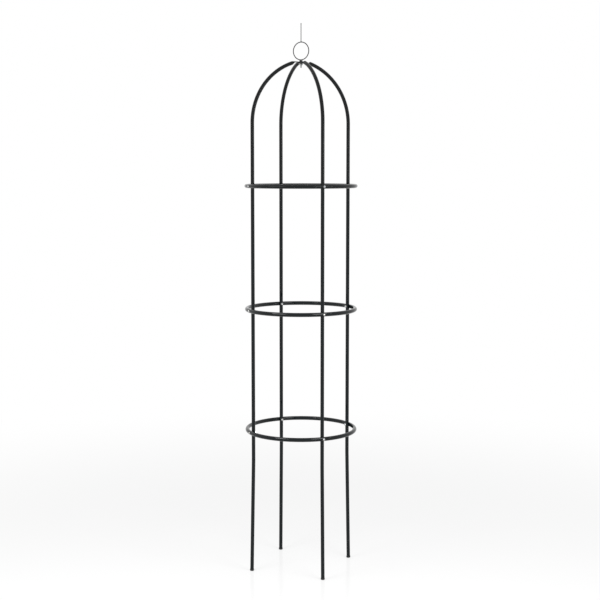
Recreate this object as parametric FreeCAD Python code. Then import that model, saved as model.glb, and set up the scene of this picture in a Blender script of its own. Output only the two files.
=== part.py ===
import FreeCAD, Part
import math
import os

from FreeCAD import Placement, Rotation, Vector

# Garden obelisk: four tube legs in push-fit sections, held by three rings, with four quarter
# arches that meet under a wire finial. Millimetres, +Z up, origin on the ground under the axis.

# Tubes
leg_tube_d = 12.7
ring_tube_d = 14.0
tube_wall = 0.8

# Rings: centre-line radius, heights above the ground, and the saddle pressed in at each leg
ring_radius = 189.0
top_ring_height = 1346.0
middle_ring_height = 918.0
bottom_ring_height = 492.0
saddle_depth = 4.6
saddle_clearance = 0.1

# Leg sections: height of each one, and the reduced end that plugs into the section below
leg_section_height = 470.0
spigot_length = 30.0
spigot_clearance = 0.05
spigot_taper = 1.5
spigot_lead_in = 0.6

# Lower leg sections stand a little outwards, from a slight bend below their joint
foot_splay = 7.5
splay_below_joint = 45.0
splay_bend_radius = 1200.0

# Foot plugs: a domed head below the tube and a stem inside it
plug_head_d = 14.4
plug_head_height = 6.0
plug_flat_d = 9.0
plug_stem_length = 14.0
plug_stem_clearance = 0.05
plug_stem_chamfer = 0.8

# Arches: straight part above the top joint, bend, and the flattened end that is bolted. The tube
# is pressed flat between two distances from the axis, through a few rounded sections
arch_straight = 150.0
arch_radius = 216.0
flatten_start = 34.0
flatten_end = 22.0
crushed_bore_gap = 0.2
crushed_bore_margin = 1.0
pressed_steps = 4

# Ring bolts and nuts
bolt_d = 4.0
bolt_hole_clearance = 0.2
bolt_head_d = 8.0
bolt_head_height = 2.6
bolt_protrusion = 1.3
recess_width = 1.2
recess_length = 4.2
recess_depth = 1.3
ring_nut_across_flats = 7.0
ring_nut_height = 3.2

# Finial: threaded stud with two nuts, wire hoop, spike and bead
stud_d = 6.0
stud_hole_clearance = 0.2
stud_below_nut = 9.0
stud_chamfer = 0.6
stud_nut_across_flats = 10.0
stud_nut_height = 5.0
hoop_outer_d = 63.0
hoop_wire_d = 3.2
hoop_turn = -7.0
hoop_above_nut = 0.3
spike_d = 2.5
spike_above_hoop = 62.0
bead_d = 5.0
bead_hole_depth = 2.5

nut_chamfer_angle = 30.0

# Directions of the four legs, seen from above with +X to the right and the front at -Y
leg_azimuths = {
    "back_right": 45.0,
    "back_left": 135.0,
    "front_left": 225.0,
    "front_right": 315.0,
}
# Order of the flattened arch ends on the stud, from the lowest up
stack_order = ["back_right", "front_right", "back_left", "front_left"]

ring_heights = {
    "top": top_ring_height,
    "middle": middle_ring_height,
    "bottom": bottom_ring_height,
}

# Sizes worked out from the values above
leg_r = leg_tube_d / 2
bore_r = leg_r - tube_wall
ring_r = ring_tube_d / 2
spigot_r = bore_r - spigot_clearance
spigot_bore_r = spigot_r - tube_wall
leg_circle_radius = ring_radius - ring_r - leg_r + saddle_depth
bolt_hole_r = bolt_d / 2 + bolt_hole_clearance
stud_hole_r = stud_d / 2 + stud_hole_clearance

lower_joint_height = leg_section_height
upper_joint_height = 2 * leg_section_height
arch_joint_height = 3 * leg_section_height

splay_corner_height = lower_joint_height - spigot_length - splay_below_joint
splay_angle = math.atan2(foot_splay, splay_corner_height)
foot_circle_radius = leg_circle_radius + foot_splay

arch_centre_x = leg_circle_radius - arch_radius
arch_centre_z = arch_joint_height + arch_straight
arch_sweep = math.acos((flatten_start - arch_centre_x) / arch_radius)
arch_end_z = arch_centre_z + arch_radius * math.sin(arch_sweep)
arch_end_slope = math.pi / 2 - arch_sweep

tab_thickness = 2 * tube_wall
tab_width = math.pi * (leg_tube_d - tube_wall) / 2 + tube_wall
stack_middle_z = arch_end_z + (flatten_start - flatten_end) * math.tan(arch_end_slope) / 2
stack_height = len(stack_order) * tab_thickness
stack_bottom_z = stack_middle_z - stack_height / 2
stack_top_z = stack_middle_z + stack_height / 2

hoop_bottom_z = stack_top_z + stud_nut_height + hoop_above_nut
hoop_centre_z = hoop_bottom_z + hoop_outer_d / 2
hoop_radius = (hoop_outer_d - hoop_wire_d) / 2
stud_top_z = hoop_bottom_z + hoop_wire_d / 2
stud_bottom_z = stack_bottom_z - stud_nut_height - stud_below_nut
hoop_top_z = hoop_bottom_z + hoop_outer_d
tip_z = hoop_top_z + spike_above_hoop
bead_centre_z = tip_z - bead_d / 2

UP = Vector(0, 0, 1)
OUTWARD = Vector(1, 0, 0)


def at_azimuth(shape, degrees):
    """A copy of a shape, turned about the vertical axis."""
    turned = shape.copy()
    turned.Placement = Placement(Vector(), Rotation(UP, degrees)).multiply(shape.Placement)
    return turned


def revolved(points, centre, axis, across):
    """A closed profile of (radius, distance along the axis) points, revolved about the axis."""
    corners = [centre + across * radius + axis * along for radius, along in points]
    wire = Part.makePolygon(corners + [corners[0]])
    return Part.Face(wire).revolve(centre, axis, 360)


def radial_cylinder(radius, inner, outer, height):
    """A level cylinder along +X between two distances from the obelisk's axis."""
    return Part.makeCylinder(radius, outer - inner, Vector(inner, 0, height), OUTWARD)


def all_bolt_holes():
    """The holes for the ring bolts in the +X leg, at every ring's height."""
    inner = leg_circle_radius - ring_tube_d
    outer = ring_radius + ring_tube_d
    holes = [radial_cylinder(bolt_hole_r, inner, outer, z) for z in ring_heights.values()]
    return Part.makeCompound(holes)


# Tubes

def tube_bottom_spigot(joint_height):
    """The reduced end below a joint, open right through."""
    bottom = joint_height - spigot_length
    profile = [
        (spigot_bore_r, bottom),
        (spigot_r - spigot_lead_in / 2, bottom),
        (spigot_r, bottom + spigot_lead_in),
        (spigot_r, joint_height),
        (leg_r, joint_height),
        (leg_r, joint_height + spigot_taper),
        (bore_r, joint_height + spigot_taper),
        (spigot_bore_r, joint_height),
    ]
    return revolved(profile, Vector(leg_circle_radius, 0, 0), UP, OUTWARD)


def straight_tube(bottom, top):
    """A plain upright tube on the leg line."""
    foot = Vector(leg_circle_radius, 0, bottom)
    outside = Part.makeCylinder(leg_r, top - bottom, foot)
    inside = Part.makeCylinder(bore_r, top - bottom, foot)
    return outside.cut(inside)


def leg_section(bottom_joint, top_joint):
    """An upper or middle leg section on the +X leg line, drilled for the ring bolts."""
    body = straight_tube(bottom_joint + spigot_taper, top_joint)
    whole = body.fuse(tube_bottom_spigot(bottom_joint)).removeSplitter()
    return whole.cut(all_bolt_holes())


def splayed_line(start_height, end_distance):
    """Centre line of a lower leg section, from its joint to a distance short of the ground."""
    corner = Vector(leg_circle_radius, 0, splay_corner_height)
    slope = Vector(math.sin(splay_angle), 0, -math.cos(splay_angle))
    tangent = splay_bend_radius * math.tan(splay_angle / 2)
    bend_start = corner + UP * tangent
    bend_end = corner + slope * tangent
    bend_centre = bend_start + OUTWARD * splay_bend_radius
    to_middle = corner - bend_centre
    bend_middle = bend_centre + to_middle.normalize() * splay_bend_radius
    ground = Vector(foot_circle_radius, 0, 0)
    start = Vector(leg_circle_radius, 0, start_height)
    return Part.Wire([
        Part.LineSegment(start, bend_start).toShape(),
        Part.Arc(bend_start, bend_middle, bend_end).toShape(),
        Part.LineSegment(bend_end, ground - slope * end_distance).toShape(),
    ])


def swept_rod(line, radius):
    """A solid rod of one radius along a line that starts downwards on the leg line."""
    start = line.Vertexes[0].Point
    section = Part.Wire(Part.makeCircle(radius, start, UP))
    return line.makePipeShell([section], True, True)


def lower_leg_section():
    """The lowest leg section on the +X leg line: plain ends and a slight outward bend."""
    line = splayed_line(lower_joint_height, plug_head_height)
    tube = swept_rod(line, leg_r).cut(swept_rod(line, bore_r))
    return tube.cut(all_bolt_holes())


def foot_plug():
    """The plug in the foot of the +X leg, cut flat where it stands on the ground."""
    ground = Vector(foot_circle_radius, 0, 0)
    along = Vector(-math.sin(splay_angle), 0, math.cos(splay_angle))
    across = Vector(math.cos(splay_angle), 0, math.sin(splay_angle))
    head_r = plug_head_d / 2
    flat_r = plug_flat_d / 2
    stem_r = bore_r - plug_stem_clearance
    stem_top = plug_head_height + plug_stem_length
    # The head reaches a little below the ground, so the level cut takes its whole underside
    low = -flat_r * math.tan(splay_angle)
    round_r = head_r - flat_r
    middle = math.sin(math.pi / 4)

    def point(radius, height):
        return ground + across * radius + along * height

    outline = Part.Wire([
        Part.LineSegment(point(0, low), point(flat_r, low)).toShape(),
        Part.Arc(
            point(flat_r, low),
            point(flat_r + round_r * middle, low + round_r * (1 - middle)),
            point(head_r, low + round_r),
        ).toShape(),
        Part.LineSegment(point(head_r, low + round_r), point(head_r, plug_head_height)).toShape(),
        Part.LineSegment(point(head_r, plug_head_height), point(stem_r, plug_head_height)).toShape(),
        Part.LineSegment(
            point(stem_r, plug_head_height),
            point(stem_r, stem_top - plug_stem_chamfer),
        ).toShape(),
        Part.LineSegment(
            point(stem_r, stem_top - plug_stem_chamfer),
            point(stem_r - plug_stem_chamfer, stem_top),
        ).toShape(),
        Part.LineSegment(point(stem_r - plug_stem_chamfer, stem_top), point(0, stem_top)).toShape(),
        Part.LineSegment(point(0, stem_top), point(0, low)).toShape(),
    ])
    plug = Part.Face(outline).revolve(ground, along, 360)
    below = Part.makeBox(
        2 * plug_head_d,
        2 * plug_head_d,
        plug_head_d,
        Vector(foot_circle_radius - plug_head_d, -plug_head_d, -plug_head_d),
    )
    return plug.cut(below)


# Arches

def round_section(radius):
    """The arch tube's round section where the flattening starts, as four arcs."""
    centre = Vector(flatten_start, 0, arch_end_z)
    side = Vector(0, 1, 0)
    upward = Vector(math.sin(arch_end_slope), 0, math.cos(arch_end_slope))

    def point(degrees):
        turn = math.radians(degrees)
        return centre + side * radius * math.cos(turn) + upward * radius * math.sin(turn)

    edges = []
    for start in (-45, 45, 135, 225):
        edges.append(Part.Arc(point(start), point(start + 45), point(start + 90)).toShape())
    return Part.Wire(edges)


def pressed_section(step, tab_z, inset):
    """A part-flattened section: two tight side arcs and two wide ones, at one of the steps."""
    share = step / (pressed_steps + 1)
    pressed = share * share * (3 - 2 * share)
    slope = arch_end_slope * (1 - pressed)
    reach = flatten_start - flatten_end
    # The centre line leaves the bend along its slope and levels out at the tab
    rise = reach * math.tan(arch_end_slope) * share * (1 - share) ** 2
    middle_z = arch_end_z + (tab_z - arch_end_z) * pressed + rise
    centre = Vector(flatten_start - reach * share, 0, middle_z)
    half_width = leg_r + (tab_width / 2 - leg_r) * pressed - inset
    half_height = leg_r + (tab_thickness / 2 - leg_r) * pressed - inset
    lean = (math.sqrt(2) - 1) * (1 - pressed) ** 2
    side_r = (half_height - half_width * lean) / (1 - lean)
    corner = math.pi / 2 - 2 * math.atan(lean)
    corner_y = half_width - side_r + side_r * math.cos(corner)
    corner_z = side_r * math.sin(corner)
    side = Vector(0, 1, 0)
    upward = Vector(math.sin(slope), 0, math.cos(slope))

    def point(across, high):
        return centre + side * across + upward * high

    low_right = point(corner_y, -corner_z)
    high_right = point(corner_y, corner_z)
    high_left = point(-corner_y, corner_z)
    low_left = point(-corner_y, -corner_z)
    return Part.Wire([
        Part.Arc(low_right, point(half_width, 0), high_right).toShape(),
        Part.Arc(high_right, point(0, half_height), high_left).toShape(),
        Part.Arc(high_left, point(-half_width, 0), low_left).toShape(),
        Part.Arc(low_left, point(0, -half_height), low_right).toShape(),
    ])


def flat_section(width, thickness, x, z):
    """A flattened tube's section: two half-round edges joined by two flats."""
    half = width / 2 - thickness / 2
    rise = thickness / 2
    return Part.Wire([
        Part.Arc(Vector(x, half, z - rise), Vector(x, half + rise, z), Vector(x, half, z + rise)).toShape(),
        Part.LineSegment(Vector(x, half, z + rise), Vector(x, -half, z + rise)).toShape(),
        Part.Arc(Vector(x, -half, z + rise), Vector(x, -half - rise, z), Vector(x, -half, z - rise)).toShape(),
        Part.LineSegment(Vector(x, -half, z - rise), Vector(x, half, z - rise)).toShape(),
    ])


def pressed_length(radius, inset, tab_z, last):
    """The solid length between an arch's round tube and its flattened end."""
    sections = [round_section(radius)]
    sections += [pressed_section(step, tab_z, inset) for step in range(1, pressed_steps + 1)]
    return Part.makeLoft(sections + [last], True, False)


def arch_bend(radius):
    """A solid rod along the arch's bend."""
    centre = Vector(arch_centre_x, 0, arch_centre_z)
    section = Part.Face(Part.Wire(Part.makeCircle(radius, Vector(leg_circle_radius, 0, arch_centre_z), UP)))
    return section.revolve(centre, Vector(0, -1, 0), math.degrees(arch_sweep))


def tab_end(z):
    """The rounded end of the flattened tube, centred on the stud."""
    half = tab_width / 2 - tab_thickness / 2
    rise = tab_thickness / 2
    outline = Part.Wire([
        Part.LineSegment(Vector(0, 0, z - rise), Vector(half, 0, z - rise)).toShape(),
        Part.Arc(Vector(half, 0, z - rise), Vector(half + rise, 0, z), Vector(half, 0, z + rise)).toShape(),
        Part.LineSegment(Vector(half, 0, z + rise), Vector(0, 0, z + rise)).toShape(),
        Part.LineSegment(Vector(0, 0, z + rise), Vector(0, 0, z - rise)).toShape(),
    ])
    return Part.Face(outline).revolve(Vector(), UP, 360)


def arch(level):
    """An arch on the +X leg line, with its flattened end at one level of the stack."""
    tab_z = stack_bottom_z + (level + 0.5) * tab_thickness
    straight_start = arch_joint_height + spigot_taper
    foot = Vector(leg_circle_radius, 0, straight_start)
    straight_length = arch_centre_z - straight_start
    flat = flat_section(tab_width, tab_thickness, flatten_end, tab_z)
    tab = Part.Face(flat).extrude(Vector(-flatten_end, 0, 0))
    outside = Part.makeCylinder(leg_r, straight_length, foot)
    outside = outside.fuse(arch_bend(leg_r))
    outside = outside.fuse(pressed_length(leg_r, 0, tab_z, flat))
    outside = outside.fuse([tab, tab_end(tab_z)])
    slot_x = flatten_end + crushed_bore_margin
    slot_width = tab_width - 2 * tube_wall
    slot = flat_section(slot_width, crushed_bore_gap, slot_x, tab_z)
    inside = Part.makeCylinder(bore_r, straight_length, foot)
    inside = inside.fuse(arch_bend(bore_r))
    inside = inside.fuse(pressed_length(bore_r, tube_wall, tab_z, slot))
    whole = outside.cut(inside).fuse(tube_bottom_spigot(arch_joint_height)).removeSplitter()
    stud_hole = Part.makeCylinder(stud_hole_r, stack_height, Vector(0, 0, stack_bottom_z))
    return whole.cut(stud_hole)


# Rings and their fasteners

def ring(height):
    """A hollow ring with a pressed saddle and a bolt hole at each leg."""
    centre = Vector(0, 0, height)
    outside = Part.makeTorus(ring_radius, ring_r, centre)
    inside = Part.makeTorus(ring_radius, ring_r - tube_wall, centre)
    saddles = []
    saddle_walls = []
    holes = []
    saddle_foot = Vector(leg_circle_radius, 0, height - ring_tube_d)
    saddle_r = leg_r + saddle_clearance
    for azimuth in leg_azimuths.values():
        saddle = Part.makeCylinder(saddle_r, 2 * ring_tube_d, saddle_foot)
        wall = Part.makeCylinder(saddle_r + tube_wall, 2 * ring_tube_d, saddle_foot)
        hole = radial_cylinder(bolt_hole_r, leg_circle_radius, ring_radius + ring_tube_d, height)
        saddles.append(at_azimuth(saddle, azimuth))
        saddle_walls.append(at_azimuth(wall, azimuth))
        holes.append(at_azimuth(hole, azimuth))
    bore = inside.cut(saddle_walls)
    return outside.cut(saddles).cut(bore).cut(holes)


def hexagon(across_flats, height, centre):
    """A hexagonal prism along +X, standing on the plane through its centre point."""
    corner_r = across_flats / math.sqrt(3)
    corners = []
    for step in range(7):
        turn = math.radians(60 * step)
        corners.append(centre + Vector(0, corner_r * math.cos(turn), corner_r * math.sin(turn)))
    return Part.Face(Part.makePolygon(corners)).extrude(OUTWARD * height)


def nut(across_flats, height, bore):
    """A hexagonal nut along +X from the origin, with its corners chamfered on both faces."""
    centre = Vector()
    corner_r = across_flats / math.sqrt(3)
    flat_r = across_flats / 2
    drop = (corner_r - flat_r) * math.tan(math.radians(nut_chamfer_angle))
    outline = [(0, 0), (flat_r, 0), (corner_r, drop), (corner_r, height - drop), (flat_r, height), (0, height)]
    turned = revolved(outline, centre, OUTWARD, Vector(0, 1, 0))
    body = hexagon(across_flats, height, centre).common(turned)
    return body.cut(Part.makeCylinder(bore / 2, height, centre, OUTWARD))


def ring_bolt(height):
    """The bolt through a ring and the +X leg: head outside, thread inwards."""
    under_head = ring_radius + ring_r
    nut_face = leg_circle_radius - leg_r
    tip = nut_face - ring_nut_height - bolt_protrusion
    shank = radial_cylinder(bolt_d / 2, tip, under_head, height)
    head_r = bolt_head_d / 2
    middle = math.sin(math.pi / 4)

    def point(radius, along):
        return Vector(under_head + along, 0, height + radius)

    outline = Part.Wire([
        Part.LineSegment(point(0, 0), point(head_r, 0)).toShape(),
        Part.Arc(
            point(head_r, 0),
            point(head_r * middle, bolt_head_height * middle),
            point(0, bolt_head_height),
        ).toShape(),
        Part.LineSegment(point(0, bolt_head_height), point(0, 0)).toShape(),
    ])
    head = Part.Face(outline).revolve(point(0, 0), OUTWARD, 360)
    recess_floor = under_head + bolt_head_height - recess_depth
    for width, tall in ((recess_width, recess_length), (recess_length, recess_width)):
        corner = Vector(recess_floor, -width / 2, height - tall / 2)
        head = head.cut(Part.makeBox(bolt_head_height, width, tall, corner))
    return head.fuse(shank).removeSplitter()


def ring_nut(height):
    """The nut on the inside of the +X leg at a ring."""
    shape = nut(ring_nut_across_flats, ring_nut_height, bolt_d)
    shape.translate(Vector(leg_circle_radius - leg_r - ring_nut_height, 0, height))
    return shape


def on_every_leg(shape):
    """Four separate copies of a shape, one at each leg, as one group."""
    return Part.makeCompound([at_azimuth(shape, azimuth) for azimuth in leg_azimuths.values()])


# Finial

def stud_nut(bottom):
    """A nut on the finial's stud, with its lower face at a height."""
    shape = nut(stud_nut_across_flats, stud_nut_height, stud_d)
    shape.rotate(Vector(), Vector(0, 1, 0), -90)
    shape.translate(Vector(0, 0, bottom))
    return shape


def finial_hoop():
    """The wire hoop that stands on the stud, turned a little out of the X-Z plane."""
    level = Part.makeTorus(hoop_radius, hoop_wire_d / 2, Vector(0, 0, hoop_centre_z), Vector(0, 1, 0))
    return at_azimuth(level, hoop_turn)


def finial_stud():
    """The threaded stud: chamfered foot, and a groove across its top for the hoop's wire."""
    stud_r = stud_d / 2
    profile = [
        (0, stud_bottom_z),
        (stud_r - stud_chamfer, stud_bottom_z),
        (stud_r, stud_bottom_z + stud_chamfer),
        (stud_r, stud_top_z),
        (0, stud_top_z),
    ]
    return revolved(profile, Vector(), UP, OUTWARD).cut(finial_hoop())


def finial_spike():
    """The spike: coped onto the top of the hoop, and up into the bead."""
    start = hoop_centre_z + hoop_radius
    top = bead_centre_z - bead_d / 2 + bead_hole_depth
    rod = Part.makeCylinder(spike_d / 2, top - start, Vector(0, 0, start))
    return rod.cut(finial_hoop())


def finial_bead():
    """The bead on the spike's tip, drilled from below."""
    bead = Part.makeSphere(bead_d / 2, Vector(0, 0, bead_centre_z))
    hole = Part.makeCylinder(spike_d / 2, bead_hole_depth, Vector(0, 0, bead_centre_z - bead_d / 2))
    return bead.cut(hole)


def make_parts():
    """Every piece of the obelisk by name."""
    parts = {}
    for side, azimuth in leg_azimuths.items():
        parts["arch_" + side] = at_azimuth(arch(stack_order.index(side)), azimuth)
        parts["upper_leg_" + side] = at_azimuth(leg_section(upper_joint_height, arch_joint_height), azimuth)
        parts["middle_leg_" + side] = at_azimuth(leg_section(lower_joint_height, upper_joint_height), azimuth)
        parts["lower_leg_" + side] = at_azimuth(lower_leg_section(), azimuth)
        parts["foot_plug_" + side] = at_azimuth(foot_plug(), azimuth)
    for name, height in ring_heights.items():
        parts[name + "_ring"] = ring(height)
        parts[name + "_ring_bolts"] = on_every_leg(ring_bolt(height))
        parts[name + "_ring_nuts"] = on_every_leg(ring_nut(height))
    parts["finial_stud"] = finial_stud()
    parts["finial_end_nut"] = stud_nut(stack_bottom_z - stud_nut_height)
    parts["finial_lock_nut"] = stud_nut(stack_top_z)
    parts["finial_hoop"] = finial_hoop()
    parts["finial_spike"] = finial_spike()
    parts["finial_bead"] = finial_bead()
    return parts


def main():
    os.makedirs("parts", exist_ok=True)
    for name, shape in make_parts().items():
        shape.exportStep("parts/" + name + ".step")
        print(name, "solids", len(shape.Solids), "volume", round(shape.Volume, 1), "valid", shape.isValid())


main()
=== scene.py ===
import math

import bmesh
import bpy
from mathutils import Matrix, Vector


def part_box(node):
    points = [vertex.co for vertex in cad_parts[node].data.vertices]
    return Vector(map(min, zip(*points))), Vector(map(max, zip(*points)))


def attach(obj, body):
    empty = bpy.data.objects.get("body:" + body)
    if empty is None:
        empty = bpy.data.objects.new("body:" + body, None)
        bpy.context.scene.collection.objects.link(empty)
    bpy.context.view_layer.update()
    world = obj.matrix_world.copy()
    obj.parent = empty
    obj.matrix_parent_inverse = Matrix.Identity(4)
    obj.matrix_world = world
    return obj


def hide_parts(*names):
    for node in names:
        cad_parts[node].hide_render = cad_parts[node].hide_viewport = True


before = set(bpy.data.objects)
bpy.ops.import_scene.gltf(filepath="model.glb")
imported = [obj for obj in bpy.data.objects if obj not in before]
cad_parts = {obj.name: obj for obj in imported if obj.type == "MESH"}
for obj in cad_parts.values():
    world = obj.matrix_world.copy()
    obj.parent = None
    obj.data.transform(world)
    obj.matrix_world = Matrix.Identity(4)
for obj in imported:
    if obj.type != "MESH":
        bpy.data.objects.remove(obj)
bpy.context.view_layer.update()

# The obelisk stands on the ground at the origin, +Z up. Everything here is in metres.
MM = 0.001

SIDES = ("back_right", "back_left", "front_left", "front_right")
LEVELS = ("top", "middle", "bottom")
TUBE_PIECES = ("arch", "upper_leg", "middle_leg", "lower_leg")

# The photograph's camera, measured on its three rings and four legs
PHOTO_WIDTH_PX = 600
CAMERA_FOCAL_PX = 1250.0
CAMERA_AZIMUTH = 21.5
CAMERA_DISTANCE = 4.347
CAMERA_HEIGHT = 1.4056
CAMERA_TILT_DOWN = 6.0
CAMERA_STEP_LEFT = 0.0035
SENSOR_WIDTH_MM = 36.0
CAMERA_SEES_FROM = 0.05
CAMERA_SEES_TO = 100.0

WHITE = (1.0, 1.0, 1.0, 1.0)


def direction(azimuth):
    """A level unit vector from the obelisk's axis, 0 at the front and 90 on the right."""
    turn = math.radians(azimuth)
    return Vector((math.sin(turn), -math.cos(turn), 0.0))


# Camera, lamps, world and floor

def add_camera():
    data = bpy.data.cameras.new("photo_camera")
    data.sensor_width = SENSOR_WIDTH_MM
    data.lens = CAMERA_FOCAL_PX / PHOTO_WIDTH_PX * SENSOR_WIDTH_MM
    data.clip_start = CAMERA_SEES_FROM
    data.clip_end = CAMERA_SEES_TO
    camera = bpy.data.objects.new("photo_camera", data)
    right = direction(CAMERA_AZIMUTH + 90.0)
    place = direction(CAMERA_AZIMUTH) * CAMERA_DISTANCE - right * CAMERA_STEP_LEFT
    camera.location = place + Vector((0.0, 0.0, CAMERA_HEIGHT))
    camera.rotation_euler = (math.radians(90.0 - CAMERA_TILT_DOWN), 0.0, math.radians(CAMERA_AZIMUTH))
    bpy.context.scene.collection.objects.link(camera)
    bpy.context.scene.camera = camera


def new_material(name):
    material = bpy.data.materials.new(name)
    material.use_nodes = True
    material.node_tree.nodes.clear()
    return material


def add_soft_lamp(name, azimuth, distance, height, tilt, spread, width, tall, watts):
    """A rectangular lamp: a tilt of 0 faces straight down, and 90 level towards the obelisk's axis."""
    data = bpy.data.lights.new(name, "AREA")
    data.shape = "RECTANGLE"
    data.size = width
    data.size_y = tall
    data.spread = math.radians(spread)
    data.energy = watts
    lamp = bpy.data.objects.new(name, data)
    lamp.location = direction(azimuth) * distance + Vector((0.0, 0.0, height))
    lamp.rotation_euler = (math.radians(tilt), 0.0, math.radians(azimuth))
    lamp.visible_camera = False
    bpy.context.scene.collection.objects.link(lamp)


# Two soft boxes hang level with the arches and face straight down
SOFT_BOX_DISTANCE = 1.2
SOFT_BOX_HEIGHT = 1.6
SOFT_BOX_TILT = 0.0
SOFT_BOX_SPREAD = 164.0
SOFT_BOX_WIDTH = 0.62
SOFT_BOX_TALL = 0.6
SOFT_BOX_TURNS = {"soft_box_left": -47.0, "soft_box_right": 40.0}
SOFT_BOX_WATTS = 15.0

# A narrow strip lamp stands to one side, level with the tops of the legs
STRIP_TURN = 62.0
STRIP_DISTANCE = 2.2
STRIP_HEIGHT = 1.47
STRIP_TILT = 90.0
STRIP_SPREAD = 180.0
STRIP_WIDTH = 0.16
STRIP_TALL = 0.28
STRIP_WATTS = 2.0


def add_lamps():
    for name, turn in SOFT_BOX_TURNS.items():
        add_soft_lamp(
            name,
            CAMERA_AZIMUTH + turn,
            SOFT_BOX_DISTANCE,
            SOFT_BOX_HEIGHT,
            SOFT_BOX_TILT,
            SOFT_BOX_SPREAD,
            SOFT_BOX_WIDTH,
            SOFT_BOX_TALL,
            SOFT_BOX_WATTS,
        )
    add_soft_lamp(
        "strip_lamp",
        CAMERA_AZIMUTH + STRIP_TURN,
        STRIP_DISTANCE,
        STRIP_HEIGHT,
        STRIP_TILT,
        STRIP_SPREAD,
        STRIP_WIDTH,
        STRIP_TALL,
        STRIP_WATTS,
    )


def math_node(nodes, links, operation, first, second=None, clamp=False):
    """One Math node, whose inputs are sockets or plain numbers."""
    node = nodes.new("ShaderNodeMath")
    node.operation = operation
    node.use_clamp = clamp
    for socket, value in zip(node.inputs, (first, second)):
        if isinstance(value, (int, float)):
            socket.default_value = value
        elif value is not None:
            links.new(value, socket)
    return node.outputs[0]


def fade_node(nodes, links, value, start, end):
    """0 at start and 1 at end, with a soft curve between them."""
    node = nodes.new("ShaderNodeMapRange")
    node.interpolation_type = "SMOOTHSTEP"
    node.inputs["From Min"].default_value = start
    node.inputs["From Max"].default_value = end
    links.new(value, node.inputs["Value"])
    return node.outputs["Result"]


def seen_directly(nodes, links):
    """1 for rays that see the background itself: from the camera, in gloss or through glass."""
    path = nodes.new("ShaderNodeLightPath")
    seen = math_node(nodes, links, "ADD", path.outputs["Is Camera Ray"], path.outputs["Is Glossy Ray"])
    return math_node(nodes, links, "ADD", seen, path.outputs["Is Transmission Ray"], clamp=True)


ROOM_LIGHT = 0.45


def add_world():
    """White where it is seen, and a plain even light on everything else."""
    world = bpy.data.worlds.new("white_studio")
    bpy.context.scene.world = world
    world.use_nodes = True
    nodes = world.node_tree.nodes
    links = world.node_tree.links
    nodes.clear()
    light = nodes.new("ShaderNodeBackground")
    light.inputs["Color"].default_value = WHITE
    light.inputs["Strength"].default_value = ROOM_LIGHT
    white = nodes.new("ShaderNodeBackground")
    white.inputs["Color"].default_value = WHITE
    white.inputs["Strength"].default_value = 1.0
    mix = nodes.new("ShaderNodeMixShader")
    out = nodes.new("ShaderNodeOutputWorld")
    links.new(seen_directly(nodes, links), mix.inputs[0])
    links.new(light.outputs[0], mix.inputs[1])
    links.new(white.outputs[0], mix.inputs[2])
    links.new(mix.outputs[0], out.inputs["Surface"])


FLOOR_HALF = 40.0
FLOOR_DROP = 0.0005
FLOOR_COLOUR = (0.93, 0.93, 0.93, 1.0)
FLOOR_ROUGHNESS = 0.16
FLOOR_SPECULAR = 0.4
FLOOR_WHITE_NEAR = 0.72
FLOOR_WHITE_FROM = 0.5
FLOOR_WHITE_TO = 3.0


def floor_material():
    """Pale floor, nearly white where it is seen, that fades into the backdrop away from the obelisk."""
    material = new_material("pale_floor")
    nodes = material.node_tree.nodes
    links = material.node_tree.links
    lit = nodes.new("ShaderNodeBsdfPrincipled")
    lit.inputs["Base Color"].default_value = FLOOR_COLOUR
    lit.inputs["Roughness"].default_value = FLOOR_ROUGHNESS
    lit.inputs["Specular IOR Level"].default_value = FLOOR_SPECULAR
    white = nodes.new("ShaderNodeEmission")
    white.inputs["Color"].default_value = WHITE
    white.inputs["Strength"].default_value = 1.0
    place = nodes.new("ShaderNodeTexCoord")
    reach = nodes.new("ShaderNodeVectorMath")
    reach.operation = "LENGTH"
    links.new(place.outputs["Object"], reach.inputs[0])
    far = fade_node(nodes, links, reach.outputs["Value"], FLOOR_WHITE_FROM, FLOOR_WHITE_TO)
    share = math_node(nodes, links, "MULTIPLY", far, 1.0 - FLOOR_WHITE_NEAR)
    share = math_node(nodes, links, "ADD", share, FLOOR_WHITE_NEAR)
    share = math_node(nodes, links, "MULTIPLY", share, seen_directly(nodes, links))
    mix = nodes.new("ShaderNodeMixShader")
    out = nodes.new("ShaderNodeOutputMaterial")
    links.new(share, mix.inputs[0])
    links.new(lit.outputs[0], mix.inputs[1])
    links.new(white.outputs[0], mix.inputs[2])
    links.new(mix.outputs[0], out.inputs["Surface"])
    return material


def stage_object(name, bm, material):
    mesh = bpy.data.meshes.new(name)
    bm.to_mesh(mesh)
    bm.free()
    mesh.materials.append(material)
    obj = bpy.data.objects.new(name, mesh)
    bpy.context.scene.collection.objects.link(obj)
    return obj


def add_floor():
    bm = bmesh.new()
    bmesh.ops.create_grid(bm, x_segments=1, y_segments=1, size=FLOOR_HALF)
    bmesh.ops.translate(bm, vec=(0.0, 0.0, -FLOOR_DROP), verts=bm.verts)
    stage_object("pale_floor", bm, floor_material())


# Finishes. The effects that several finishes share are node groups

def effect_group(name, inputs, outputs):
    """An empty node group with named number inputs, and the ends of its tree."""
    group = bpy.data.node_groups.new(name, "ShaderNodeTree")
    for label, value in inputs.items():
        socket = group.interface.new_socket(name=label, in_out="INPUT", socket_type="NodeSocketFloat")
        socket.default_value = value
    for label, kind in outputs.items():
        group.interface.new_socket(name=label, in_out="OUTPUT", socket_type=kind)
    start = group.nodes.new("NodeGroupInput")
    end = group.nodes.new("NodeGroupOutput")
    return group, start, end


def placed_group(nodes, group, **values):
    """The group as a node of a material, with that material's own values."""
    node = nodes.new("ShaderNodeGroup")
    node.node_tree = group
    for label, value in values.items():
        node.inputs[label.replace("_", " ")].default_value = value
    return node


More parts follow.
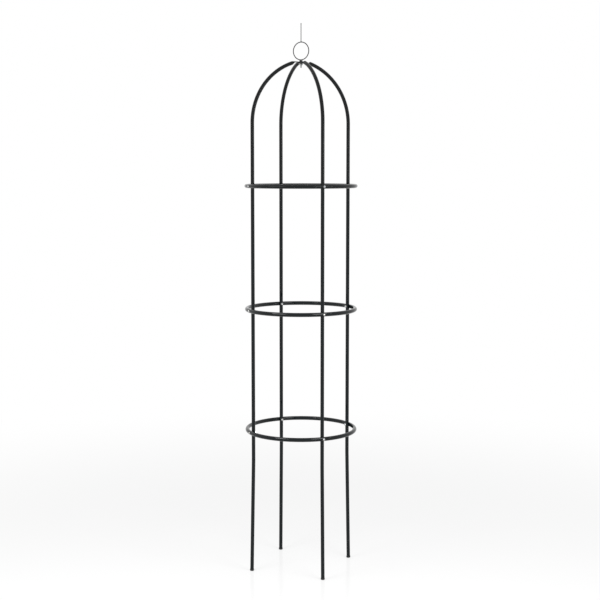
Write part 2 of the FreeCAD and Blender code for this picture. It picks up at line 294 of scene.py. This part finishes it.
def noise_node(nodes, links, vector, scale, detail):
    """A noise pattern on the object's own coordinates, from 0 to 1."""
    noise = nodes.new("ShaderNodeTexNoise")
    noise.inputs["Detail"].default_value = detail
    links.new(vector, noise.inputs["Vector"])
    if isinstance(scale, (int, float)):
        noise.inputs["Scale"].default_value = scale
    else:
        links.new(scale, noise.inputs["Scale"])
    return noise.outputs["Fac"]


MICRON = 0.000001
RIPPLE_DETAIL = 2.0
PATCH_DETAIL = 3.0
MARK_DETAIL = 6.0
SPECK_DETAIL = 4.0
PATCH_FADE = (0.32, 0.68)
MARK_FADE = (0.48, 0.72)
SPECK_FADE = (0.4, 0.7)
DUST_FACING_FADE = (0.45, 1.0)
EDGE_FADE = (0.98, 0.86)
EDGE_SAMPLES = 6


def rippled_surface_group():
    """The soft ripple of a sprayed or moulded surface, as a normal."""
    inputs = {"Ripples per metre": 400.0, "Depth in microns": 10.0}
    group, start, end = effect_group("rippled_surface", inputs, {"Normal": "NodeSocketVector"})
    nodes = group.nodes
    links = group.links
    place = nodes.new("ShaderNodeTexCoord").outputs["Object"]
    height = noise_node(nodes, links, place, start.outputs["Ripples per metre"], RIPPLE_DETAIL)
    height = math_node(nodes, links, "MULTIPLY", height, start.outputs["Depth in microns"])
    bump = nodes.new("ShaderNodeBump")
    bump.inputs["Distance"].default_value = MICRON
    links.new(height, bump.inputs["Height"])
    links.new(bump.outputs["Normal"], end.inputs["Normal"])
    return group


def uneven_gloss_group():
    """Broad uneven patches, and finer marks from handling in them, both from 0 to 1."""
    inputs = {"Patches per metre": 9.0, "Marks per metre": 160.0}
    outputs = {"Patches": "NodeSocketFloat", "Marks": "NodeSocketFloat"}
    group, start, end = effect_group("uneven_gloss", inputs, outputs)
    nodes = group.nodes
    links = group.links
    place = nodes.new("ShaderNodeTexCoord").outputs["Object"]
    patches = noise_node(nodes, links, place, start.outputs["Patches per metre"], PATCH_DETAIL)
    patches = fade_node(nodes, links, patches, *PATCH_FADE)
    marks = noise_node(nodes, links, place, start.outputs["Marks per metre"], MARK_DETAIL)
    marks = fade_node(nodes, links, marks, *MARK_FADE)
    marks = math_node(nodes, links, "MULTIPLY", marks, patches)
    links.new(patches, end.inputs["Patches"])
    links.new(marks, end.inputs["Marks"])
    return group


def settled_dust_group():
    """A thin film of dust on what faces up, broken into specks."""
    inputs = {"Amount": 0.03, "Specks per metre": 900.0}
    group, start, end = effect_group("settled_dust", inputs, {"Dust": "NodeSocketFloat"})
    nodes = group.nodes
    links = group.links
    place = nodes.new("ShaderNodeTexCoord").outputs["Object"]
    parts = nodes.new("ShaderNodeSeparateXYZ")
    links.new(nodes.new("ShaderNodeNewGeometry").outputs["Normal"], parts.inputs[0])
    upward = fade_node(nodes, links, parts.outputs["Z"], *DUST_FACING_FADE)
    specks = noise_node(nodes, links, place, start.outputs["Specks per metre"], SPECK_DETAIL)
    specks = fade_node(nodes, links, specks, *SPECK_FADE)
    dust = math_node(nodes, links, "MULTIPLY", upward, specks)
    dust = math_node(nodes, links, "MULTIPLY", dust, start.outputs["Amount"])
    links.new(dust, end.inputs["Dust"])
    return group


def eased_edge_group():
    """Rounds the sharp edges of small hardware in the light, and marks them for wear."""
    outputs = {"Normal": "NodeSocketVector", "Edge": "NodeSocketFloat"}
    group, start, end = effect_group("eased_edge", {"Radius in mm": 0.15}, outputs)
    nodes = group.nodes
    links = group.links
    radius = math_node(nodes, links, "MULTIPLY", start.outputs["Radius in mm"], MM)
    bevel = nodes.new("ShaderNodeBevel")
    bevel.samples = EDGE_SAMPLES
    links.new(radius, bevel.inputs["Radius"])
    facing = nodes.new("ShaderNodeVectorMath")
    facing.operation = "DOT_PRODUCT"
    links.new(bevel.outputs["Normal"], facing.inputs[0])
    links.new(nodes.new("ShaderNodeNewGeometry").outputs["Normal"], facing.inputs[1])
    edge = fade_node(nodes, links, facing.outputs["Value"], *EDGE_FADE)
    links.new(bevel.outputs["Normal"], end.inputs["Normal"])
    links.new(edge, end.inputs["Edge"])
    return group


def mixed_colour(nodes, links, factor, first, second):
    """A blend of two colours, each a plain colour or a socket."""
    mix = nodes.new("ShaderNodeMix")
    mix.data_type = "RGBA"
    links.new(factor, mix.inputs["Factor"])
    for socket, value in ((mix.inputs[6], first), (mix.inputs[7], second)):
        if isinstance(value, tuple):
            socket.default_value = value
        else:
            links.new(value, socket)
    return mix.outputs[2]


def finish_shader(material):
    """A material's shader, joined to its output."""
    nodes = material.node_tree.nodes
    shader = nodes.new("ShaderNodeBsdfPrincipled")
    out = nodes.new("ShaderNodeOutputMaterial")
    material.node_tree.links.new(shader.outputs[0], out.inputs["Surface"])
    return shader


def uneven_roughness(nodes, links, share, spread, base):
    """The plain roughness, with up to a spread more of it by a share from 0 to 1."""
    roughness = math_node(nodes, links, "MULTIPLY", share, spread)
    return math_node(nodes, links, "ADD", roughness, base)


DUST_COLOUR = (0.30, 0.28, 0.25, 1.0)
COAT_DEEP = (0.0012, 0.0036, 0.0045, 1.0)
COAT_PALE = (0.0022, 0.0055, 0.0067, 1.0)
COAT_WORN = (0.085, 0.090, 0.092, 1.0)
COAT_ROUGHNESS = 0.055
COAT_ROUGHNESS_SPREAD = 0.06
COAT_SPECULAR = 0.25
JOINT_HEIGHTS = {"lower": 0.470, "upper": 0.940, "arch": 1.410}
RIM_WEAR_FADE = (1.3 * MM, 0.3 * MM)
RIM_SPECKS_PER_METRE = 700.0
RIM_SPECK_DETAIL = 5.0
RIM_SPECK_FADE = (0.50, 0.64)


def joint_wear(nodes, links, place):
    """1 in broken specks at the rims of the push-fit joints, where the coating is rubbed."""
    parts = nodes.new("ShaderNodeSeparateXYZ")
    links.new(place, parts.inputs[0])
    nearest = None
    for height in JOINT_HEIGHTS.values():
        gap = math_node(nodes, links, "SUBTRACT", parts.outputs["Z"], height)
        gap = math_node(nodes, links, "ABSOLUTE", gap)
        nearest = gap if nearest is None else math_node(nodes, links, "MINIMUM", nearest, gap)
    rim = fade_node(nodes, links, nearest, *RIM_WEAR_FADE)
    specks = noise_node(nodes, links, place, RIM_SPECKS_PER_METRE, RIM_SPECK_DETAIL)
    specks = fade_node(nodes, links, specks, *RIM_SPECK_FADE)
    return math_node(nodes, links, "MULTIPLY", rim, specks)


def coated_steel(groups):
    """Gloss coating on the tubes: near black, a little blue-green, with a fine ripple."""
    material = new_material("gloss_coated_steel")
    nodes = material.node_tree.nodes
    links = material.node_tree.links
    shader = finish_shader(material)
    place = nodes.new("ShaderNodeTexCoord").outputs["Object"]
    gloss = placed_group(nodes, groups["uneven_gloss"], Patches_per_metre=9.0, Marks_per_metre=170.0)
    dust = placed_group(nodes, groups["settled_dust"], Amount=0.05, Specks_per_metre=900.0)
    ripple = placed_group(nodes, groups["rippled_surface"], Ripples_per_metre=380.0, Depth_in_microns=9.0)
    colour = mixed_colour(nodes, links, gloss.outputs["Patches"], COAT_DEEP, COAT_PALE)
    colour = mixed_colour(nodes, links, joint_wear(nodes, links, place), colour, COAT_WORN)
    colour = mixed_colour(nodes, links, dust.outputs["Dust"], colour, DUST_COLOUR)
    marks = gloss.outputs["Marks"]
    roughness = uneven_roughness(nodes, links, marks, COAT_ROUGHNESS_SPREAD, COAT_ROUGHNESS)
    roughness = math_node(nodes, links, "ADD", roughness, dust.outputs["Dust"])
    links.new(colour, shader.inputs["Base Color"])
    links.new(roughness, shader.inputs["Roughness"])
    links.new(ripple.outputs["Normal"], shader.inputs["Normal"])
    shader.inputs["Specular IOR Level"].default_value = COAT_SPECULAR
    return material


WIRE_DARK = (0.0040, 0.0062, 0.0070, 1.0)
WIRE_PALE = (0.0085, 0.0105, 0.0112, 1.0)
WIRE_ROUGHNESS = 0.2
WIRE_ROUGHNESS_SPREAD = 0.12


def coated_wire(groups, name, wear):
    """The thinner coating on the finial's wire and top nut, rubbed a little at its edges."""
    material = new_material(name)
    nodes = material.node_tree.nodes
    links = material.node_tree.links
    shader = finish_shader(material)
    gloss = placed_group(nodes, groups["uneven_gloss"], Patches_per_metre=60.0, Marks_per_metre=420.0)
    ripple = placed_group(nodes, groups["rippled_surface"], Ripples_per_metre=1100.0, Depth_in_microns=6.0)
    colour = mixed_colour(nodes, links, gloss.outputs["Patches"], WIRE_DARK, WIRE_PALE)
    marks = gloss.outputs["Marks"]
    roughness = uneven_roughness(nodes, links, marks, WIRE_ROUGHNESS_SPREAD, WIRE_ROUGHNESS)
    normal = ripple.outputs["Normal"]
    if wear:
        edge = placed_group(nodes, groups["eased_edge"], Radius_in_mm=0.25)
        worn = math_node(nodes, links, "MULTIPLY", edge.outputs["Edge"], gloss.outputs["Marks"])
        colour = mixed_colour(nodes, links, worn, colour, COAT_WORN)
        normal = edge.outputs["Normal"]
    links.new(colour, shader.inputs["Base Color"])
    links.new(roughness, shader.inputs["Roughness"])
    links.new(normal, shader.inputs["Normal"])
    return material


ZINC_BLUE = (0.50, 0.53, 0.57, 1.0)
ZINC_WARM = (0.60, 0.585, 0.54, 1.0)
ZINC_EDGE = (0.72, 0.73, 0.74, 1.0)
ZINC_ROUGHNESS = 0.24
ZINC_ROUGHNESS_SPREAD = 0.16
ZINC_GRAINS_PER_METRE = 2600.0
ZINC_GRAIN_DETAIL = 3.0
ZINC_GRAIN_DEPTH = 0.004 * MM


def zinc_plate(groups):
    """Bright zinc on the bolts, nuts and stud: faint colour, fine grain and rubbed edges."""
    material = new_material("bright_zinc")
    nodes = material.node_tree.nodes
    links = material.node_tree.links
    shader = finish_shader(material)
    place = nodes.new("ShaderNodeTexCoord").outputs["Object"]
    gloss = placed_group(nodes, groups["uneven_gloss"], Patches_per_metre=210.0, Marks_per_metre=1500.0)
    edge = placed_group(nodes, groups["eased_edge"], Radius_in_mm=0.18)
    colour = mixed_colour(nodes, links, gloss.outputs["Patches"], ZINC_BLUE, ZINC_WARM)
    colour = mixed_colour(nodes, links, edge.outputs["Edge"], colour, ZINC_EDGE)
    grain = noise_node(nodes, links, place, ZINC_GRAINS_PER_METRE, ZINC_GRAIN_DETAIL)
    bump = nodes.new("ShaderNodeBump")
    bump.inputs["Distance"].default_value = ZINC_GRAIN_DEPTH
    links.new(grain, bump.inputs["Height"])
    links.new(edge.outputs["Normal"], bump.inputs["Normal"])
    marks = gloss.outputs["Marks"]
    roughness = uneven_roughness(nodes, links, marks, ZINC_ROUGHNESS_SPREAD, ZINC_ROUGHNESS)
    links.new(colour, shader.inputs["Base Color"])
    links.new(roughness, shader.inputs["Roughness"])
    links.new(bump.outputs["Normal"], shader.inputs["Normal"])
    shader.inputs["Metallic"].default_value = 1.0
    return material


PLUG_DARK = (0.0060, 0.0062, 0.0064, 1.0)
PLUG_PALE = (0.0120, 0.0120, 0.0118, 1.0)
PLUG_ROUGHNESS = 0.42
PLUG_ROUGHNESS_SPREAD = 0.12


def plug_plastic(groups):
    """Matt black moulded plastic with a fine spark-eroded texture, a little scuffed and dusty."""
    material = new_material("moulded_plug_plastic")
    nodes = material.node_tree.nodes
    links = material.node_tree.links
    shader = finish_shader(material)
    gloss = placed_group(nodes, groups["uneven_gloss"], Patches_per_metre=90.0, Marks_per_metre=900.0)
    dust = placed_group(nodes, groups["settled_dust"], Amount=0.12, Specks_per_metre=1500.0)
    ripple = placed_group(nodes, groups["rippled_surface"], Ripples_per_metre=3200.0, Depth_in_microns=16.0)
    colour = mixed_colour(nodes, links, gloss.outputs["Marks"], PLUG_DARK, PLUG_PALE)
    colour = mixed_colour(nodes, links, dust.outputs["Dust"], colour, DUST_COLOUR)
    patches = gloss.outputs["Patches"]
    roughness = uneven_roughness(nodes, links, patches, PLUG_ROUGHNESS_SPREAD, PLUG_ROUGHNESS)
    links.new(colour, shader.inputs["Base Color"])
    links.new(roughness, shader.inputs["Roughness"])
    links.new(ripple.outputs["Normal"], shader.inputs["Normal"])
    return material


BEAD_PALE = (0.66, 0.66, 0.64, 1.0)
BEAD_SHADE = (0.55, 0.56, 0.56, 1.0)
BEAD_ROUGHNESS = 0.3
BEAD_ROUGHNESS_SPREAD = 0.1


def pale_bead(groups):
    """The pale satin bead on the tip."""
    material = new_material("pale_satin_bead")
    nodes = material.node_tree.nodes
    links = material.node_tree.links
    shader = finish_shader(material)
    gloss = placed_group(nodes, groups["uneven_gloss"], Patches_per_metre=300.0, Marks_per_metre=1200.0)
    ripple = placed_group(nodes, groups["rippled_surface"], Ripples_per_metre=1400.0, Depth_in_microns=5.0)
    colour = mixed_colour(nodes, links, gloss.outputs["Patches"], BEAD_PALE, BEAD_SHADE)
    marks = gloss.outputs["Marks"]
    roughness = uneven_roughness(nodes, links, marks, BEAD_ROUGHNESS_SPREAD, BEAD_ROUGHNESS)
    links.new(colour, shader.inputs["Base Color"])
    links.new(roughness, shader.inputs["Roughness"])
    links.new(ripple.outputs["Normal"], shader.inputs["Normal"])
    return material


def make_finishes():
    groups = {
        "rippled_surface": rippled_surface_group(),
        "uneven_gloss": uneven_gloss_group(),
        "settled_dust": settled_dust_group(),
        "eased_edge": eased_edge_group(),
    }
    return {
        "coat": coated_steel(groups),
        "wire": coated_wire(groups, "thin_coated_wire", False),
        "top_nut": coated_wire(groups, "coated_top_nut", True),
        "zinc": zinc_plate(groups),
        "plug": plug_plastic(groups),
        "bead": pale_bead(groups),
    }


def finish_node(name, material):
    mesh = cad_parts[name].data
    mesh.materials.clear()
    mesh.materials.append(material)


def finish_frame(finishes):
    for side in SIDES:
        for piece in TUBE_PIECES:
            finish_node(piece + "_" + side, finishes["coat"])
        finish_node("foot_plug_" + side, finishes["plug"])
    for level in LEVELS:
        finish_node(level + "_ring", finishes["coat"])
        finish_node(level + "_ring_bolts", finishes["zinc"])
        finish_node(level + "_ring_nuts", finishes["zinc"])
    finish_node("finial_stud", finishes["zinc"])
    finish_node("finial_end_nut", finishes["zinc"])
    finish_node("finial_lock_nut", finishes["top_nut"])
    finish_node("finial_hoop", finishes["wire"])
    finish_node("finial_spike", finishes["wire"])
    finish_node("finial_bead", finishes["bead"])


# Pieces that the plain frame leaves out: threads, rolled rims, welds and mould lines

LEG_AZIMUTHS = {"back_right": 135.0, "back_left": 225.0, "front_left": 315.0, "front_right": 45.0}
UP = Vector((0.0, 0.0, 1.0))
RING_RADIUS = 189.0 * MM
LEG_CIRCLE = 180.25 * MM
FOOT_CIRCLE = 187.75 * MM
FOOT_SPLAY = math.radians(1.088)
MERGE_DISTANCE = 0.002 * MM
SHARP_FROM = math.radians(35.0)


def whole(bm):
    """All the geometry of a bmesh, for its operators."""
    return bm.verts[:] + bm.edges[:] + bm.faces[:]


def merge_doubles(bm):
    bmesh.ops.remove_doubles(bm, verts=bm.verts, dist=MERGE_DISTANCE)


def close_ends(bm):
    bmesh.ops.holes_fill(bm, edges=[e for e in bm.edges if e.is_boundary], sides=0)


def piece(name, bm, material, slot, replaced=()):
    """A finished piece from its bmesh, which rides on the frame and stands for some of its nodes."""
    merge_doubles(bm)
    bmesh.ops.recalc_face_normals(bm, faces=bm.faces)
    mesh = bpy.data.meshes.new(name)
    bm.to_mesh(mesh)
    bm.free()
    mesh.materials.append(material)
    mesh.shade_smooth()
    mesh.set_sharp_from_angle(angle=SHARP_FROM)
    obj = bpy.data.objects.new(name, mesh)
    bpy.context.scene.collection.objects.link(obj)
    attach(obj, "root")
    if replaced:
        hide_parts(*replaced)
    return obj


BAND_SEGMENTS = 48


def turned_band(bm, profile, centre, axis):
    """A closed band: a profile of (radius, distance along) in mm, spun about an axis."""
    across = axis.orthogonal().normalized()
    verts = [bm.verts.new(centre + across * (r * MM) + axis * (along * MM)) for r, along in profile]
    edges = [bm.edges.new((a, b)) for a, b in zip(verts, verts[1:] + verts[:1])]
    bmesh.ops.spin(
        bm,
        geom=verts + edges,
        cent=centre,
        axis=axis,
        angle=math.tau,
        steps=BAND_SEGMENTS,
        use_merge=True,
    )


THREAD_SEGMENTS = 24
THREAD_DEPTH = 0.61
THREAD_CREST = 0.125
THREAD_ROOT = 0.25


def threaded_rod(radius, pitch, length, chamfer):
    """A threaded rod up the Z axis from the origin, chamfered at its foot."""
    bm = bmesh.new()
    root = radius - THREAD_DEPTH * pitch
    verts = []
    for turn in range(-1, math.ceil(length / pitch) + 2):
        for r, along in (
            (radius, 0.0),
            (radius, THREAD_CREST),
            (root, 0.5 + THREAD_CREST / 2 - THREAD_ROOT / 2),
            (root, 0.5 + THREAD_CREST / 2 + THREAD_ROOT / 2),
        ):
            verts.append(bm.verts.new((r, 0.0, (turn + along) * pitch)))
    edges = [bm.edges.new((a, b)) for a, b in zip(verts, verts[1:])]
    bmesh.ops.spin(
        bm,
        geom=verts + edges,
        cent=(0.0, 0.0, 0.0),
        axis=UP,
        dvec=(0.0, 0.0, pitch / THREAD_SEGMENTS),
        angle=math.tau,
        steps=THREAD_SEGMENTS,
    )
    merge_doubles(bm)
    for height, side in ((0.0, -1.0), (length, 1.0)):
        bmesh.ops.bisect_plane(
            bm,
            geom=whole(bm),
            plane_co=(0.0, 0.0, height),
            plane_no=(0.0, 0.0, side),
            clear_outer=True,
        )
    bmesh.ops.bisect_plane(
        bm,
        geom=whole(bm),
        plane_co=(0.0, 0.0, chamfer),
        plane_no=UP,
    )
    for vert in bm.verts:
        reach = math.hypot(vert.co.x, vert.co.y)
        limit = radius - chamfer + vert.co.z
        if reach > limit:
            vert.co.x *= limit / reach
            vert.co.y *= limit / reach
    merge_doubles(bm)
    close_ends(bm)
    return bm


STUD_PITCH = 1.0 * MM
STUD_CHAMFER = 0.6 * MM
STUD_INTO_WIRE = 0.8 * MM


def add_finial_stud(material):
    low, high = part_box("finial_stud")
    hoop_low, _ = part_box("finial_hoop")
    length = hoop_low[2] + STUD_INTO_WIRE - low[2]
    bm = threaded_rod((high[0] - low[0]) / 2, STUD_PITCH, length, STUD_CHAMFER)
    bmesh.ops.translate(bm, vec=(0.0, 0.0, low[2]), verts=bm.verts)
    piece("threaded_finial_stud", bm, material, "plated_fasteners", ("finial_stud",))


BOLT_R = 2.0 * MM
BOLT_PITCH = 0.7 * MM
BOLT_CHAMFER = 0.4 * MM
BOLT_HEAD_FROM = 195.9 * MM
BOLT_TIP_AT = 169.4 * MM
BOLT_INTO_HEAD = 0.3 * MM


def add_ring_bolts(level, material):
    """Bolts with a real thread behind the frame's own cross-recessed heads."""
    name = level + "_ring_bolts"
    low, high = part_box(name)
    height = (low[2] + high[2]) / 2
    outward = direction(LEG_AZIMUTHS["back_right"])
    bm = bmesh.new()
    bm.from_mesh(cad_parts[name].data)
    merge_doubles(bm)
    others = [v for v in bm.verts if v.co.dot(outward) < RING_RADIUS / 2]
    bmesh.ops.delete(bm, geom=others, context="VERTS")
    bmesh.ops.bisect_plane(
        bm,
        geom=whole(bm),
        plane_co=outward * BOLT_HEAD_FROM,
        plane_no=-outward,
        clear_outer=True,
    )
    close_ends(bm)
    length = BOLT_HEAD_FROM + BOLT_INTO_HEAD - BOLT_TIP_AT
    shank = threaded_rod(BOLT_R, BOLT_PITCH, length, BOLT_CHAMFER)
    shank.transform(
        Matrix.Translation(outward * BOLT_TIP_AT + UP * height)
        @ UP.rotation_difference(outward).to_matrix().to_4x4()
    )
    shank_mesh = bpy.data.meshes.new("shank")
    shank.to_mesh(shank_mesh)
    shank.free()
    bm.from_mesh(shank_mesh)
    bpy.data.meshes.remove(shank_mesh)
    bmesh.ops.spin(
        bm,
        geom=whole(bm),
        cent=(0.0, 0.0, 0.0),
        axis=UP,
        angle=math.radians(270.0),
        steps=3,
        use_duplicate=True,
    )
    piece("threaded_" + name, bm, material, "plated_fasteners", (name,))


# Profiles in mm: distance out from the band's own axis, then along it
JOINT_RIM = (
    (6.1, -2.0),
    (6.34, -2.0),
    (6.46, -1.5),
    (6.52, -0.9),
    (6.50, -0.35),
    (6.40, -0.02),
    (6.1, -0.02),
)
RING_WELD = (
    (6.7, -2.4),
    (6.98, -2.4),
    (7.10, -1.4),
    (7.20, 0.0),
    (7.12, 1.2),
    (6.98, 2.2),
    (6.7, 2.2),
)
PLUG_MOULD_LINE = (
    (7.0, -0.45),
    (7.18, -0.45),
    (7.32, -0.12),
    (7.32, 0.12),
    (7.18, 0.45),
    (7.0, 0.45),
)
PLUG_MOULD_LINE_AT = 5.2 * MM
RING_WELD_AZIMUTH = 200.0


def add_joint_rims(material):
    """The rolled mouth of the lower tube at every push-fit joint."""
    for joint, height in JOINT_HEIGHTS.items():
        bm = bmesh.new()
        for azimuth in LEG_AZIMUTHS.values():
            turned_band(bm, JOINT_RIM, direction(azimuth) * LEG_CIRCLE + UP * height, UP)
        piece(joint + "_joint_rims", bm, material, "coated_steel")


def add_ring_welds(material):
    """The coated-over weld that closes each ring, at its back."""
    outward = direction(RING_WELD_AZIMUTH)
    for level in LEVELS:
        low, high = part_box(level + "_ring")
        centre = outward * RING_RADIUS + UP * ((low[2] + high[2]) / 2)
        bm = bmesh.new()
        turned_band(bm, RING_WELD, centre, UP.cross(outward))
        piece(level + "_ring_weld", bm, material, "coated_steel")


def add_plug_mould_lines(material):
    """The raised line that the mould leaves round each foot plug's head."""
    bm = bmesh.new()
    for azimuth in LEG_AZIMUTHS.values():
        outward = direction(azimuth)
        along = UP * math.cos(FOOT_SPLAY) - outward * math.sin(FOOT_SPLAY)
        centre = outward * FOOT_CIRCLE + along * PLUG_MOULD_LINE_AT
        turned_band(bm, PLUG_MOULD_LINE, centre, along)
    piece("foot_plug_mould_lines", bm, material, "foot_plastic")


WELD_SPHERE_SEGMENTS = 32
WELD_SPHERE_RINGS = 20
WELD_BROAD_SWELL = 0.07
WELD_FINE_SWELL = 0.05
WELD_FLATTENED = 0.85


def weld_blob(bm, centre, wide, tall, turn):
    """One uneven blob of weld metal round a joint in the wire, sizes in metres."""
    made = bmesh.ops.create_uvsphere(
        bm,
        u_segments=WELD_SPHERE_SEGMENTS,
        v_segments=WELD_SPHERE_RINGS,
        radius=1.0,
    )
    for vert in made["verts"]:
        angle = math.atan2(vert.co.y, vert.co.x)
        broad = WELD_BROAD_SWELL * math.sin(3.0 * angle + 4.0 * vert.co.z)
        fine = WELD_FINE_SWELL * math.sin(5.0 * angle - turn)
        swell = 1.0 + broad + fine
        vert.co.x *= wide * swell
        vert.co.y *= wide * WELD_FLATTENED * swell
        vert.co.z *= tall
    bmesh.ops.rotate(
        bm,
        verts=made["verts"],
        cent=(0.0, 0.0, 0.0),
        matrix=Matrix.Rotation(turn, 3, "Z"),
    )
    bmesh.ops.translate(bm, vec=centre, verts=made["verts"])


HOOP_WELD_RISE = 1.3 * MM
HOOP_WELD_WIDE = 3.1 * MM
HOOP_WELD_TALL = 1.5 * MM
HOOP_WELD_TURN = 0.6
SPIKE_WELD_DROP = 0.6 * MM
SPIKE_WELD_WIDE = 2.5 * MM
SPIKE_WELD_TALL = 2.3 * MM
SPIKE_WELD_TURN = 2.1


def add_finial_welds(material):
    """The welds that hold the hoop on its stud and the spike on the hoop."""
    low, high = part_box("finial_hoop")
    bm = bmesh.new()
    foot = (0.0, 0.0, low[2] + HOOP_WELD_RISE)
    top = (0.0, 0.0, high[2] - SPIKE_WELD_DROP)
    weld_blob(bm, foot, HOOP_WELD_WIDE, HOOP_WELD_TALL, HOOP_WELD_TURN)
    weld_blob(bm, top, SPIKE_WELD_WIDE, SPIKE_WELD_TALL, SPIKE_WELD_TURN)
    piece("finial_welds", bm, material, "finial_wire")


def add_pieces(finishes):
    add_finial_stud(finishes["zinc"])
    for level in LEVELS:
        add_ring_bolts(level, finishes["zinc"])
    add_joint_rims(finishes["coat"])
    add_ring_welds(finishes["coat"])
    add_plug_mould_lines(finishes["plug"])
    add_finial_welds(finishes["wire"])


bpy.context.scene.view_settings.view_transform = "Standard"
add_camera()
add_world()
add_lamps()
add_floor()
finishes = make_finishes()
finish_frame(finishes)
add_pieces(finishes)
